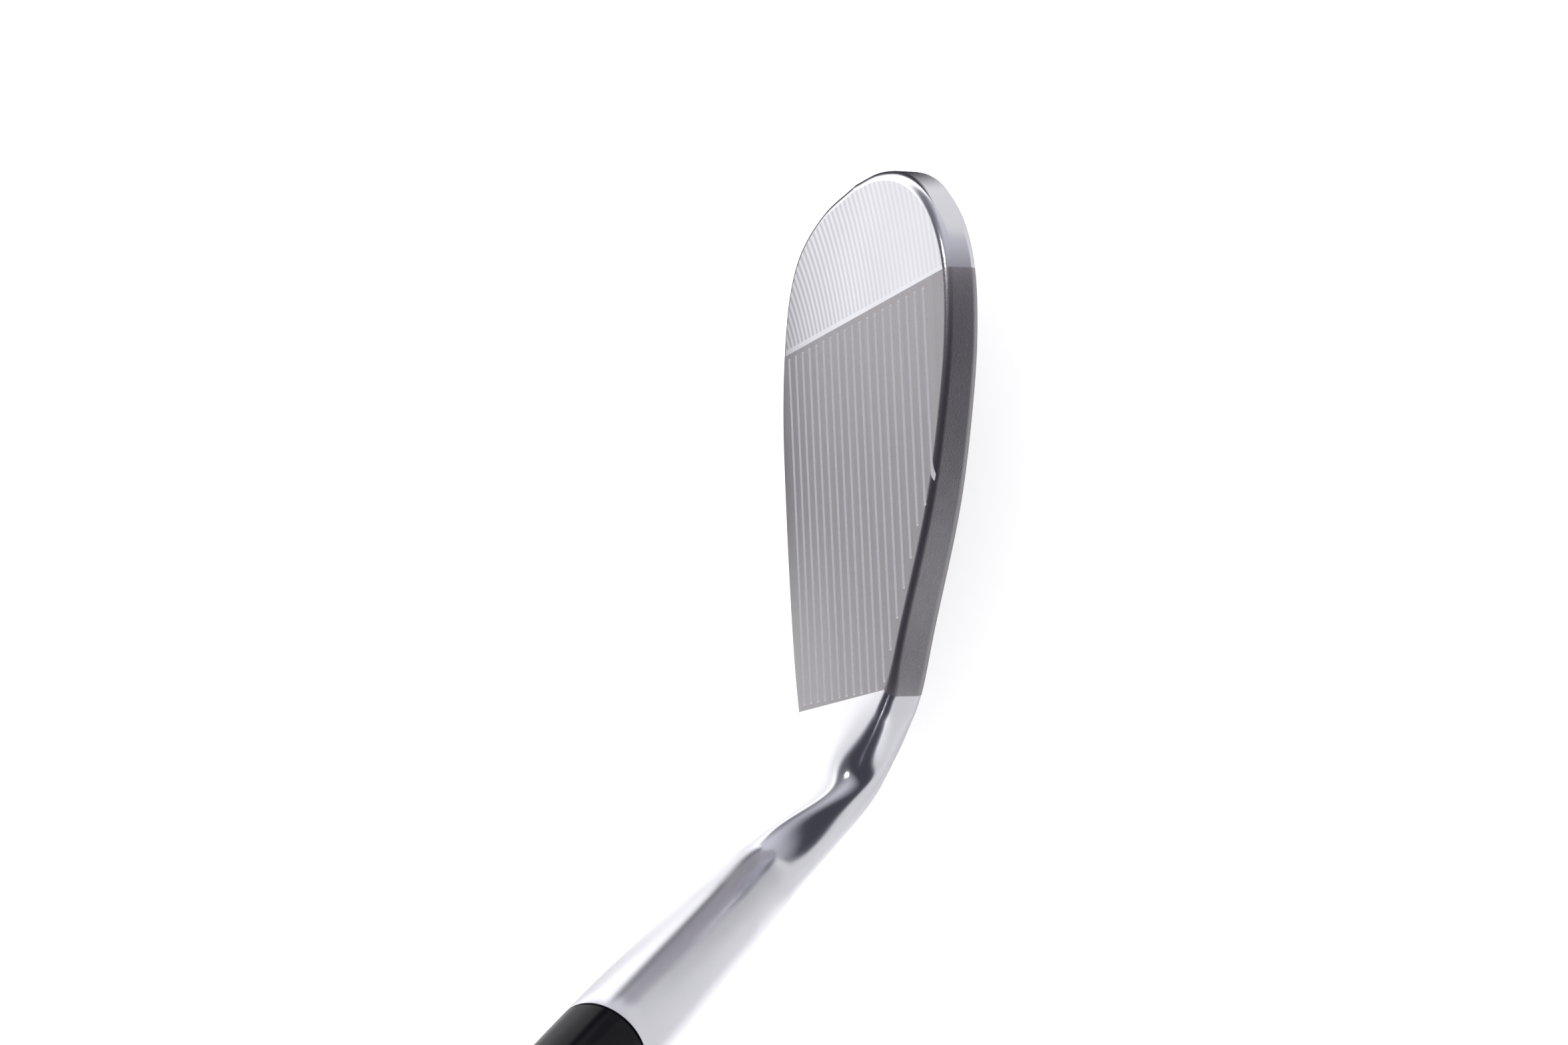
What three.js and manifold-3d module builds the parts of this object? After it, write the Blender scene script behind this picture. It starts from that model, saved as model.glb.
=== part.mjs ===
import * as THREE from 'three';
import { mergeVertices } from 'three/addons/utils/BufferGeometryUtils.js';
import Module from 'manifold-3d';

const wasm = await Module();
wasm.setup();

// An iron golf club at address: the ground is z = 0, the face looks along -Y, the toe lies along -X and the
// shaft rises along +X. The origin is the middle of the small flat on which the sole rests. Millimetres.

// Angles of the head, in degrees
const loft = 50;
const lie = 63.5;

// Face: the blasted zone with the grooves, measured along the face from its heel edge
const zoneLength = 54.2;
const groovePitch = 2.88;
const shortestGroove = 20;
const grooveWidth = 0.8;
const grooveFloor = 0.45;
const grooveDepth = 0.45;
const grooveEndMargin = 1.1;
const grooveTopMargin = 1.6;

// Outline of the blade in the face plane: s runs from the zone's heel edge to the toe, v up the face from the
// lowest groove. Both lines start beyond the heel, inside the neck, and meet at the tip of the toe.
const soleLine = [[-24, 13], [-16, 4], [-7, -1.6], [2, -3.9], [12, -4.9], [32, -5.3], [46, -4.7], [56, -2.5],
  [63.2, 0.6], [68.2, 5.6], [71.8, 15.5], [73.1, 28.5]];
const topLine = [[-19, 8.5], [-12.5, 15.2], [-6.3, 24.4], [-0.8, 31.8], [8.7, 38.8], [23.7, 49.8], [34, 55],
  [45, 58.8], [54.5, 59.5], [61.2, 57], [66.5, 52], [70.4, 45.2], [72.6, 36.8], [73.1, 28.5]];

// Blade section
const leadRadius = 1.4;
const topEdgeRadius = 0.9;
const toeEdgeRadius = 1.6;
const backEdgeRadius = 0.9;
const trailRadius = 2.2;
const toplineAtHeel = 5.4;
const toplineAtToe = 4.6;
const soleRadius = 36;
const soleLeadAngle = 16;
const soleTrailAngle = 12;
const toeBand = 2.6;
const muscleTaper = 0.18;
const muscleStart = 0.46;
const muscleEnd = 0.72;
const soleFlatDepth = 0.12;
const soleAtHeel = 0.78;
const soleFade = 1.5;

// Hosel: where its axis crosses the level of the lowest groove, and its length from there
const hoselFromZone = 14.3;
const hoselBehindFace = 2.4;
const hoselLength = 67.3;
const hoselRadius = 6.5;
const neckRadius = 5.75;
const boreRadius = 5;
const boreDepth = 34;
const mouthCountersink = 1.1;

// Neck: ovals from the heel round the bend to the hosel, placed in face coordinates, with their half widths
// along the slope of the face and across it. The blade's own section melts into them on the way.
const neckOvals = [
  { s: -14.2, v: 10.7, m: 3.2, turn: 6.8, along: 7.4, across: 7.3 },
  { s: -9.1, v: 11.6, m: 2.5, turn: -1.9, along: 10.4, across: 6 },
  { s: -11.6, v: 11.8, m: 1.2, turn: 9.9, along: 9.3, across: 4.9 },
  { s: -15.1, v: 14.4, m: -2.7, turn: 13.6, along: 6.6, across: 5.1 },
];
const neckBend = { height: 21.0, radius: 5.3 };
const neckEnd = 34;
const neckSteps = 27;
const meltEnd = 2.6;
const meltPower = 0.6;
const meltReach = 9;
const meltFurthest = -18.9;
const heelEdge = { start: 5, growth: 0.058, power: 1.5, most: 9, depth: 1.2, slope: 0.3 };
const soleHeelEnd = -8.5;
const hoselParts = [0.3, 0.6, 0.8, 1];
const hoselFull = 0.9;
const boreCone = 2;

// Shaft, ferrule, grip, all round about the hosel's axis
const roundSides = 36;
const jointGap = 0.3;
const clubLength = 902;
const shaftTipRadius = boreRadius - jointGap;
const shaftButtRadius = 7.6;
const shaftWall = 0.55;
const firstStep = 205;
const stepCount = 13;
const stepPitch = 38;
const stepSlope = 1.2;
const ferruleLength = 25;
const ferruleCollar = 2;
const ferruleBulge = 0.62;
const ferruleMouth = 0.9;
const ferruleChamfer = 0.4;
const plugLength = 19;
const gripLength = 268;
const gripMouthWall = 1.9;
const gripButtRadius = 13.1;
const gripLip = 3;
const gripLipSwell = 0.3;
const gripTaper = [0.7, 2.2];
const tapeThickness = 0.3;
const capHeight = 5.2;
const capFlange = 1.9;
const capSpigot = 3.2;
const ventRadius = 1.6;

const rad = THREE.MathUtils.degToRad;
const lerp = THREE.MathUtils.lerp;
const smoothstep = THREE.MathUtils.smoothstep;
const sinLoft = Math.sin(rad(loft));
const cosLoft = Math.cos(rad(loft));

// Height and setback of the lowest groove, from the sole arc, the leading edge's round and the outline
const leadTilt = rad(soleLeadAngle);
const leadCentreY = -soleRadius * Math.sin(leadTilt) + leadRadius * Math.sin(leadTilt);
const leadCentreZ = soleRadius * (1 - Math.cos(leadTilt)) + leadRadius * Math.cos(leadTilt) - soleFlatDepth;
const lowestLead = Math.min(...soleLine.map(([, v]) => v));
const grooveRise = -lowestLead - leadRadius;
const grooveY = leadCentreY - leadRadius * cosLoft + grooveRise * sinLoft;
const grooveZ = leadCentreZ + leadRadius * sinLoft + grooveRise * cosLoft;

// Face coordinates (s, v, m), where m runs into the head, to the part's frame
function facePoint(s, v, m) {
  const y = grooveY + v * sinLoft + m * cosLoft;
  const z = grooveZ + v * cosLoft - m * sinLoft;
  return new THREE.Vector3(zoneLength / 2 - s, y, z);
}

// Hosel frame: z runs up the shaft from the level of the lowest groove
const hoselFrame = new THREE.Matrix4().makeRotationY(rad(90 - lie));
hoselFrame.setPosition(zoneLength / 2 + hoselFromZone, grooveY + hoselBehindFace, grooveZ);

// Points along an outline, with the outward normal at each
function sampled(points, outward) {
  const places = points.map(([s, v]) => new THREE.Vector3(s, v, 0));
  const curve = new THREE.CatmullRomCurve3(places, false, 'centripetal');
  const steps = 400;
  return Array.from({ length: steps + 1 }, (_, i) => {
    const p = curve.getPointAt(i / steps);
    const t = curve.getTangentAt(i / steps);
    return { s: p.x, v: p.y, ns: outward * t.y, nv: -outward * t.x };
  });
}

const sole = sampled(soleLine, 1);
const topline = sampled(topLine, -1);
const toeTip = sole[sole.length - 1].s;

// Where an outline crosses a plane, given as a function that changes sign there
function crossing(line, side) {
  for (let i = 1; i < line.length; i++) {
    const a = line[i - 1];
    const b = line[i];
    const fa = side(a);
    const fb = side(b);
    if (fa * fb <= 0 && fa !== fb) {
      const f = fa / (fa - fb);
      const mix = (key) => lerp(a[key], b[key], f);
      return { s: mix('s'), v: mix('v'), ns: mix('ns'), nv: mix('nv') };
    }
  }
  throw new Error('outline does not reach this section');
}

// One closed section of the blade. It runs up the face, over the topline, down the back and forward under the
// sole. Most points hold an inset, measured inwards from the low or high end of the section, and a depth m.
const faceSteps = 13;
const topEdgeTurns = [30, 60, 90];
const toplineParts = [1 / 3, 2 / 3];
const backEdgeTurns = [0, 30, 60, 90];
const backSteps = 13;
const leadParts = [1 / 3, 2 / 3, 1];
const soleSteps = 6;
const trailSteps = 4;
const trailSlope = 100;

function sectionPoints(low, high, soleShare, thick, soleWidth, edge) {
  const depth = Math.min(edge, heelEdge.depth + heelEdge.slope * edge);
  const points = [];
  const put = (end, inset, m) => points.push({ end, inset, m });
  for (let i = 0; i <= faceSteps; i++) points.push({ face: i / faceSteps, m: 0 });
  for (const turn of topEdgeTurns) {
    put(high, edge * (1 - Math.sin(rad(turn))), depth * (1 - Math.cos(rad(turn))));
  }
  for (const part of toplineParts) put(high, 0, lerp(depth, thick - backEdgeRadius, part));
  for (const turn of backEdgeTurns) {
    put(high, backEdgeRadius * (1 - Math.cos(rad(turn))), thick - backEdgeRadius * (1 - Math.sin(rad(turn))));
  }
  const under = [];
  const startTilt = rad((loft - soleLeadAngle) * soleShare);
  const endTilt = rad((loft + soleTrailAngle) * soleShare);
  for (const part of leadParts) {
    const turn = part * (Math.PI / 2 + startTilt);
    under.push({ inset: leadRadius * (1 - Math.sin(turn)), m: leadRadius * (1 - Math.cos(turn)) });
  }
  let { inset, m } = under[under.length - 1];
  for (let i = 1; i <= soleSteps; i++) {
    const tilt = lerp(startTilt, endTilt, (i - 0.5) / soleSteps);
    inset += soleWidth / soleSteps * Math.sin(tilt);
    m += soleWidth / soleSteps * Math.cos(tilt);
    under.push({ inset, m });
  }
  const lastTilt = rad(trailSlope);
  for (let i = 1; i <= trailSteps; i++) {
    const tilt = lerp(endTilt, lastTilt, (i - 0.5) / trailSteps);
    inset += trailRadius * (lastTilt - endTilt) / trailSteps * Math.sin(tilt);
    m += trailRadius * (lastTilt - endTilt) / trailSteps * Math.cos(tilt);
    under.push({ inset, m });
  }
  for (let i = 1; i < backSteps; i++) {
    const part = i / backSteps;
    const rise = muscleTaper * part + (1 - muscleTaper) * smoothstep(part, muscleStart, muscleEnd);
    points.push({ back: part, trailInset: inset, m: lerp(thick, m, rise) });
  }
  for (const p of under.reverse()) put(low, p.inset, p.m);
  return points;
}

// A section's points in face coordinates
function bladeRing(low, high, soleShare, thick, soleWidth, edge) {
  const spot = (end, inset) => [end.s - end.ns * inset, end.v - end.nv * inset];
  const between = (a, b, f) => [lerp(a[0], b[0], f), lerp(a[1], b[1], f)];
  return sectionPoints(low, high, soleShare, thick, soleWidth, edge).map((p) => {
    let place;
    if (p.face !== undefined) {
      place = between(spot(low, leadRadius), spot(high, edge), p.face);
    } else if (p.back !== undefined) {
      place = between(spot(high, backEdgeRadius), spot(low, p.trailInset), p.back);
    } else {
      place = spot(p.end, p.inset);
    }
    return facePoint(place[0], place[1], p.m);
  });
}

// Points round a section, and the one at the middle of the topline
const toTopline = faceSteps + topEdgeTurns.length;
const toBack = toTopline + toplineParts.length + backEdgeTurns.length;
const ringSides = toBack + backSteps + leadParts.length + soleSteps + trailSteps;
const topMiddle = (faceSteps + 1 + toBack) / 2;

// Stations from the toe to the start of the neck
const toeSteps = [0.01, 0.12, 0.45, 1, 1.8, 2.9, 4.3, 6, 8.2, 11, 14.5];
const bladeStep = 4;
const fullSole = rad(soleLeadAngle + soleTrailAngle) * soleRadius;

function toplineAt(s) {
  return lerp(toplineAtHeel, toplineAtToe, THREE.MathUtils.clamp(s / zoneLength, 0, 1));
}

function soleWidthAt(s, share) {
  const narrowing = lerp(soleAtHeel, 1, smoothstep(s, soleHeelEnd, zoneLength / 2));
  return lerp(toeBand, fullSole * narrowing, share);
}

function bladeStation(s) {
  const low = crossing(sole, (p) => p.s - s);
  const high = crossing(topline, (p) => p.s - s);
  const share = Math.pow(Math.max(0, -low.nv), soleFade);
  const toeward = smoothstep(s, zoneLength - bladeStep, zoneLength + 2 * bladeStep);
  const heelward = heelEdge.growth * Math.pow(Math.max(0, heelEdge.start - s), heelEdge.power);
  const edge = Math.min(lerp(topEdgeRadius, toeEdgeRadius, toeward) + heelward, heelEdge.most);
  return bladeRing(low, high, share, toplineAt(s), soleWidthAt(s, share), edge);
}

// An oval ring in a plane that is turned about Y, its long half width along the slope of the face
function ovalRing(centre, turn, along, across) {
  return Array.from({ length: ringSides }, (_, i) => {
    const angle = 2 * Math.PI * (i - topMiddle) / ringSides;
    const v = along * Math.cos(angle);
    const m = across * Math.sin(angle);
    const rise = v * cosLoft - m * sinLoft;
    const back = v * sinLoft + m * cosLoft;
    return new THREE.Vector3(-rise * Math.sin(rad(turn)), back, rise * Math.cos(rad(turn))).add(centre);
  });
}

function hoselRing(height, radius) {
  return ovalRing(new THREE.Vector3(0, 0, height).applyMatrix4(hoselFrame), lie, radius, radius);
}

// Rings of the neck, on smooth curves through the ovals, with the blade's section melting into the first
function neckRings() {
  const ovals = neckOvals.map((o) => ovalRing(facePoint(o.s, o.v, o.m), o.turn, o.along, o.across));
  ovals.push(hoselRing(neckBend.height, neckBend.radius), hoselRing(neckEnd, neckRadius));
  const spans = ovals.length - 1;
  const curves = ovals[0].map((_, i) => {
    const through = ovals.map((ring) => ring[i]);
    return new THREE.CatmullRomCurve3(through, false, 'catmullrom');
  });
  return Array.from({ length: neckSteps }, (_, step) => {
    const along = (step + 1) / neckSteps;
    const ring = curves.map((curve) => curve.getPoint(along));
    const melt = smoothstep(Math.pow(spans * along / meltEnd, meltPower), 0, 1);
    if (melt === 1) return ring;
    const blade = bladeStation(Math.max(-meltReach * spans * along, meltFurthest));
    return ring.map((point, i) => blade[i].lerp(point, melt));
  });
}

// Straight part of the hosel, swelling towards the ferrule
function hoselRings() {
  return hoselParts.map((part) => {
    const swell = smoothstep(part, 0, hoselFull);
    return hoselRing(lerp(neckEnd, hoselLength, part), lerp(neckRadius, hoselRadius, swell));
  });
}

// Closed skin over a row of rings of equal count
function skin(rings) {
  const points = rings.flat();
  const index = [];
  for (let j = 0; j + 1 < rings.length; j++) {
    for (let i = 0; i < ringSides; i++) {
      const a = j * ringSides + i;
      const b = j * ringSides + (i + 1) % ringSides;
      index.push(a, a + ringSides, b, b, a + ringSides, b + ringSides);
    }
  }
  for (const [row, flip] of [[0, false], [rings.length - 1, true]]) {
    const centre = points.length;
    const middle = new THREE.Vector3();
    for (const p of rings[row]) middle.addScaledVector(p, 1 / ringSides);
    points.push(middle);
    for (let i = 0; i < ringSides; i++) {
      const a = row * ringSides + i;
      const b = row * ringSides + (i + 1) % ringSides;
      if (flip) index.push(b, a, centre);
      else index.push(a, b, centre);
    }
  }
  const geometry = new THREE.BufferGeometry().setFromPoints(points);
  geometry.setIndex(index);
  return geometry;
}

// Boolean work on closed geometries
function solid(geometry) {
  const plain = geometry.clone();
  for (const name of ['normal', 'uv']) plain.deleteAttribute(name);
  const merged = mergeVertices(plain, 1e-4);
  return new wasm.Manifold(new wasm.Mesh({
    numProp: 3,
    vertProperties: new Float32Array(merged.attributes.position.array),
    triVerts: new Uint32Array(merged.index.array),
  }));
}

function geometryOf(manifold) {
  const mesh = manifold.getMesh();
  const geometry = new THREE.BufferGeometry();
  geometry.setAttribute('position', new THREE.BufferAttribute(mesh.vertProperties, 3));
  geometry.setIndex(new THREE.BufferAttribute(mesh.triVerts, 1));
  geometry.computeVertexNormals();
  return geometry;
}

// A round part about the hosel's axis, from [radius, height] pairs
function turned(profile) {
  const geometry = new THREE.LatheGeometry(profile.map(([r, z]) => new THREE.Vector2(r, z)), roundSides);
  return geometry.rotateX(Math.PI / 2);
}

const faceFrame = new THREE.Matrix4().makeBasis(
  new THREE.Vector3(0, sinLoft, cosLoft),
  new THREE.Vector3(0, cosLoft, -sinLoft),
  new THREE.Vector3(-1, 0, 0),
).setPosition(facePoint(0, 0, 0));

// Where a groove at height v starts, which is where the blade is high enough for it
function grooveStart(v) {
  const underTopline = topline.find((p) => p.v > v + grooveTopMargin);
  return underTopline ? Math.max(grooveEndMargin, underTopline.s) : zoneLength;
}

const grooveEnd = zoneLength - grooveEndMargin;

function groove(v) {
  const start = grooveStart(v);
  const half = grooveWidth / 2;
  const floor = grooveFloor / 2;
  const above = grooveDepth;
  const flare = half + (half - floor) * above / grooveDepth;
  const shape = new THREE.Shape();
  shape.moveTo(v - flare, -above);
  shape.lineTo(v + flare, -above);
  shape.lineTo(v + floor, grooveDepth);
  shape.lineTo(v - floor, grooveDepth);
  shape.closePath();
  const geometry = new THREE.ExtrudeGeometry(shape, { depth: grooveEnd - start, bevelEnabled: false });
  return geometry.translate(0, 0, start).applyMatrix4(faceFrame);
}

function clubHead() {
  const rings = [];
  for (const back of toeSteps) rings.push(bladeStation(toeTip - back));
  let s = toeTip - toeSteps[toeSteps.length - 1] - bladeStep;
  for (; s > bladeStep / 2; s -= bladeStep) rings.push(bladeStation(s));
  rings.push(bladeStation(0), ...neckRings(), ...hoselRings());
  for (const ring of rings) for (const p of ring) p.z = Math.max(p.z, 0);
  let head = solid(skin(rings));
  const bore = turned([
    [0, hoselLength - boreDepth - boreCone],
    [boreRadius, hoselLength - boreDepth],
    [boreRadius, hoselLength - mouthCountersink],
    [boreRadius + mouthCountersink, hoselLength],
    [boreRadius + mouthCountersink, hoselLength + mouthCountersink],
    [0, hoselLength + mouthCountersink],
  ]).applyMatrix4(hoselFrame);
  head = head.subtract(solid(bore));
  for (let v = 0; grooveEnd - grooveStart(v) > shortestGroove; v += groovePitch) {
    head = head.subtract(solid(groove(v)));
  }
  return geometryOf(head);
}

// Heights along the shaft
const groundBelowAxis = grooveZ / Math.sin(rad(lie));
const buttEnd = clubLength - groundBelowAxis;
const tipEnd = hoselLength - boreDepth + jointGap;
const capSeat = buttEnd - capHeight;
const shaftTop = capSeat - capSpigot - jointGap;
const gripMouth = capSeat - gripLength;

function shaft() {
  const outer = [[shaftTipRadius, tipEnd]];
  for (let i = 0; i < stepCount; i++) {
    const at = tipEnd + firstStep + i * stepPitch;
    outer.push([lerp(shaftTipRadius, shaftButtRadius, i / stepCount), at - stepSlope]);
    outer.push([lerp(shaftTipRadius, shaftButtRadius, (i + 1) / stepCount), at]);
  }
  outer.push([shaftButtRadius, shaftTop]);
  const inner = [[shaftButtRadius - shaftWall, shaftTop]];
  inner.push([shaftButtRadius - shaftWall, tipEnd + firstStep + stepCount * stepPitch]);
  inner.push([shaftTipRadius - shaftWall, tipEnd + firstStep - stepPitch]);
  inner.push([shaftTipRadius - shaftWall, tipEnd]);
  return turned([...outer, ...inner, outer[0]]);
}

function tipWeight() {
  const radius = shaftTipRadius - shaftWall - jointGap;
  const low = tipEnd + jointGap;
  return turned([[0, low], [radius, low], [radius, low + plugLength], [0, low + plugLength]]);
}

// Set adhesive in the countersunk mouth, round the shaft
function epoxyRing() {
  const inner = shaftTipRadius + jointGap / 2;
  const top = hoselLength - jointGap / 2;
  const low = top - mouthCountersink + jointGap;
  const outer = inner + mouthCountersink - jointGap / 2;
  return turned([[inner, low], [inner + jointGap / 2, low], [outer, top], [inner, top], [inner, low]]);
}

function ferrule() {
  const low = hoselLength + jointGap;
  const top = low + ferruleLength;
  const inner = shaftTipRadius + jointGap;
  const bulge = new THREE.QuadraticBezierCurve(
    new THREE.Vector2(hoselRadius, low + ferruleCollar),
    new THREE.Vector2(hoselRadius, low + ferruleLength * ferruleBulge),
    new THREE.Vector2(inner + ferruleMouth, top - ferruleChamfer),
  );
  const side = bulge.getPoints(8).map((p) => [p.x, p.y]);
  const lip = [inner + ferruleMouth - ferruleChamfer, top];
  return turned([[inner, low], [hoselRadius, low], ...side, lip, [inner, top], [inner, low]]);
}

function gripTape() {
  const inner = shaftButtRadius + jointGap / 2;
  const low = Math.max(gripMouth + gripLip, tipEnd + firstStep + stepCount * stepPitch);
  const outer = inner + tapeThickness;
  return turned([[inner, low], [outer, low], [outer, shaftTop], [inner, shaftTop], [inner, low]]);
}

const gripBore = shaftButtRadius + tapeThickness + jointGap;

// Rubber sleeve, tapered from the butt to a rolled lip at its mouth
function grip() {
  const mouth = gripBore + gripMouthWall;
  const top = capSeat - jointGap;
  const taper = new THREE.CubicBezierCurve(
    new THREE.Vector2(mouth, gripMouth + gripLip),
    new THREE.Vector2(mouth + gripTaper[0], lerp(gripMouth, capSeat, 1 / 3)),
    new THREE.Vector2(gripButtRadius - gripTaper[1], lerp(gripMouth, capSeat, 2 / 3)),
    new THREE.Vector2(gripButtRadius, top),
  );
  const side = taper.getPoints(20).map((p) => [p.x, p.y]);
  return turned([
    [gripBore, gripMouth],
    [mouth - gripLipSwell, gripMouth],
    [mouth + gripLipSwell, gripMouth + gripLip / 3],
    ...side,
    [gripBore, top],
    [gripBore, gripMouth],
  ]);
}

// End cap: a domed flange on a spigot that plugs the sleeve, with a vent hole through it
function gripCap() {
  const spigot = gripBore - jointGap;
  const low = capSeat - capSpigot;
  const dome = new THREE.EllipseCurve(gripButtRadius - capFlange, capSeat + capHeight - capFlange,
    capFlange, capFlange, 0, Math.PI / 2);
  const edge = dome.getPoints(5).map((p) => [p.x, p.y]);
  return turned([
    [ventRadius, low],
    [spigot, low],
    [spigot, capSeat],
    [gripButtRadius, capSeat],
    ...edge,
    [ventRadius, buttEnd],
    [ventRadius, low],
  ]);
}

function finish(color, roughness, metalness) {
  return new THREE.MeshStandardMaterial({ color, roughness, metalness });
}

function named(name, geometry, material) {
  const mesh = new THREE.Mesh(geometry, material);
  mesh.name = name;
  return mesh;
}

const shaftLine = new THREE.Group();
shaftLine.applyMatrix4(hoselFrame);
shaftLine.add(
  named('ferrule', ferrule(), finish(0x161619, 0.22, 0)),
  named('epoxy_ring', epoxyRing(), finish(0x8a8270, 0.5, 0)),
  named('tip_weight', tipWeight(), finish(0xb08d4a, 0.4, 1)),
  named('shaft', shaft(), finish(0xc9ccd2, 0.12, 1)),
  named('grip_tape', gripTape(), finish(0xd8d2bf, 0.8, 0)),
  named('grip', grip(), finish(0x1d1d1f, 0.75, 0)),
  named('grip_cap', gripCap(), finish(0x222224, 0.6, 0)),
);

const club = new THREE.Group();
club.name = 'iron_golf_club';
club.add(named('club_head', clubHead(), finish(0xb9b9bf, 0.3, 1)), shaftLine);

export default club;
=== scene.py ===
import math

import bpy
import numpy as np
from mathutils import Matrix, Vector


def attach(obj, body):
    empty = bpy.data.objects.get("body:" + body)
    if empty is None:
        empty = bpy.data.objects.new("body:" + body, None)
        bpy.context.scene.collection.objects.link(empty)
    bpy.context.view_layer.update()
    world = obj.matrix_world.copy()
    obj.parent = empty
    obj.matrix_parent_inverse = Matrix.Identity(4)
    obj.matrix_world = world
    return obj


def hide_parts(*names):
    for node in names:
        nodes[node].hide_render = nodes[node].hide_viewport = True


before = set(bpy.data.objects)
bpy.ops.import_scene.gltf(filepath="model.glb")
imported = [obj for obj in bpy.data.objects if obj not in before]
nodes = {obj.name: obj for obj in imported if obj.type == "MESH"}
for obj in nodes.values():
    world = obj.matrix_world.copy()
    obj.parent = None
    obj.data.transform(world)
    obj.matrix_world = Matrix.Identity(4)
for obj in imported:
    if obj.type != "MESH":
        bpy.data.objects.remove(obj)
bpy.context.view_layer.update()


# ---------------------------------------------------------------------------------------------
# Club head. The real one is forged from one billet of soft steel, then ground, milled and polished
# under chrome. Blade, neck and hosel are one continuous skin, made here from sections that run from
# the toe to the hosel, with the face grooves cut into it and a bore in the hosel for the shaft.
# All lengths are in millimetres, until the finished mesh is scaled.
mm = 0.001
loft = math.radians(50)
lie = math.radians(63.5)
zone_length = 54.2
heel_line_x = zone_length / 2

# Outlines in the face plane: along the face from the zone's heel edge, and up the face
sole_line = [(-24, 13), (-16, 4), (-7, -1.6), (2, -3.9), (12, -4.9), (32, -5.3), (46, -4.7), (56, -2.5),
             (63.2, 0.6), (68.2, 5.6), (71.8, 15.5), (73.1, 28.5)]
top_line = [(-19, 8.5), (-12.5, 15.2), (-6.3, 24.4), (-0.8, 31.8), (8.7, 38.8), (23.7, 49.8), (34, 55),
            (45, 58.8), (54.5, 59.5), (61.2, 57), (66.5, 52), (70.4, 45.2), (72.6, 36.8), (73.1, 28.5)]
toe_tip = sole_line[-1][0]
curve_steps = 120

# The blade's edges, topline and sole
lead_radius = 1.4
top_edge_radius = 0.9
toe_edge_radius = 1.2
toe_edge_from, toe_edge_to = zone_length - 4, zone_length + 8
heel_edge_from = 5
heel_edge_growth = 0.058
largest_edge = 9
back_edge_radius = 0.9
trail_radius = 2.2
trail_end_tilt = math.radians(100)
topline_at_heel = 5.4
topline_at_toe = 4.6
sole_radius = 36
sole_lead_angle = math.radians(16)
sole_trail_angle = math.radians(12)
sole_at_heel = 0.78
sole_narrow_at = -8.5
sole_flat_depth = 0.12
toe_band = 2.6
tip_blend = 8

# The muscle on the back: how much of the way down is an even taper, and where the swell starts and ends
muscle_taper = 0.18
muscle_start = 0.46
muscle_end = 0.72

hosel_length = 67.3
hosel_radius = 6.5
hosel_bore_radius = 5
bore_depth = 34


def smooth_curve(points):
    """A centripetal curve through the points, with curve_steps steps between each two of them."""
    p = np.asarray(points, float)
    p = np.vstack([[2 * p[0] - p[1]], p, [2 * p[-1] - p[-2]]])
    made = []
    for a, b, c, d in zip(p, p[1:], p[2:], p[3:]):
        ab, bc, cd = (max(np.linalg.norm(q - r) ** 0.5, 1e-4) for q, r in ((b, a), (c, b), (d, c)))
        leaving = ((b - a) / ab - (c - a) / (ab + bc) + (c - b) / bc) * bc
        arriving = ((c - b) / bc - (d - b) / (bc + cd) + (d - c) / cd) * bc
        squared = 3 * (c - b) - 2 * leaving - arriving
        cubed = 2 * (b - c) + leaving + arriving
        for k in range(curve_steps):
            t = k / curve_steps
            made.append(b + leaving * t + squared * t * t + cubed * t ** 3)
    made.append(p[-2])
    return np.array(made)


def outline_at(line, outward):
    """Gives a function from a place along the face to the outline's point and outward normal there."""
    curve = smooth_curve(line)
    along = np.gradient(curve, axis=0)
    along /= np.linalg.norm(along, axis=1)[:, None]

    def at(s):
        v = np.interp(s, curve[:, 0], curve[:, 1])
        ts, tv = (np.interp(s, curve[:, 0], along[:, axis]) for axis in (0, 1))
        return np.array([s, v]), outward * np.array([tv, -ts])
    return at


sole_at = outline_at(sole_line, 1)
top_at = outline_at(top_line, -1)

# Where the lowest groove lies in the frame of the whole club, with the sole's flat on the floor
lead_centre_y = (lead_radius - sole_radius) * math.sin(sole_lead_angle)
lead_centre_z = (sole_radius * (1 - math.cos(sole_lead_angle)) + lead_radius * math.cos(sole_lead_angle)
                 - sole_flat_depth)
groove_rise = -smooth_curve(sole_line)[:, 1].min() - lead_radius
groove_y = lead_centre_y - lead_radius * math.cos(loft) + groove_rise * math.sin(loft)
groove_z = lead_centre_z + lead_radius * math.sin(loft) + groove_rise * math.cos(loft)


def face_point(s, v, m):
    """A place on the face (along it, up it, and into the head) in the club's frame."""
    return np.array([heel_line_x - s, groove_y + v * math.sin(loft) + m * math.cos(loft),
                     groove_z + v * math.cos(loft) - m * math.sin(loft)])


# The hosel's own frame: its z runs up the shaft from the level of the lowest groove
hosel_outwards = 14.3
hosel_back = 2.4
shaft_line = (Matrix.Translation((heel_line_x + hosel_outwards, groove_y + hosel_back, groove_z))
              @ Matrix.Rotation(math.pi / 2 - lie, 4, "Y"))

# Places round one section: the face, the topline's front edge, flat and back edge, the back, and the sole
face_to, front_edge_to, flat_to, topline_to, back_to, all_round = 13, 16, 19, 22, 35, 48
# The same along the sole alone, counted from the face: leading edge, camber and trailing edge
lead_to, camber_to, trail_to = 3, 9, 13
top_middle = 18
quarter = math.pi / 2
places = np.concatenate([
    [0, 0.06, 0.3], np.arange(1, face_to), [12.7, 12.94],
    np.arange(face_to, front_edge_to, 0.375), [16, 16.12, 17, 18, 18.88], np.arange(flat_to, topline_to, 0.5),
    [22, 22.06, 22.4], np.arange(23, back_to, 0.8), [34.7],
    np.arange(back_to, 39, 0.5), np.arange(39, 45, 0.6), np.arange(45, all_round, 0.375)])
around = len(places)


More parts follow.
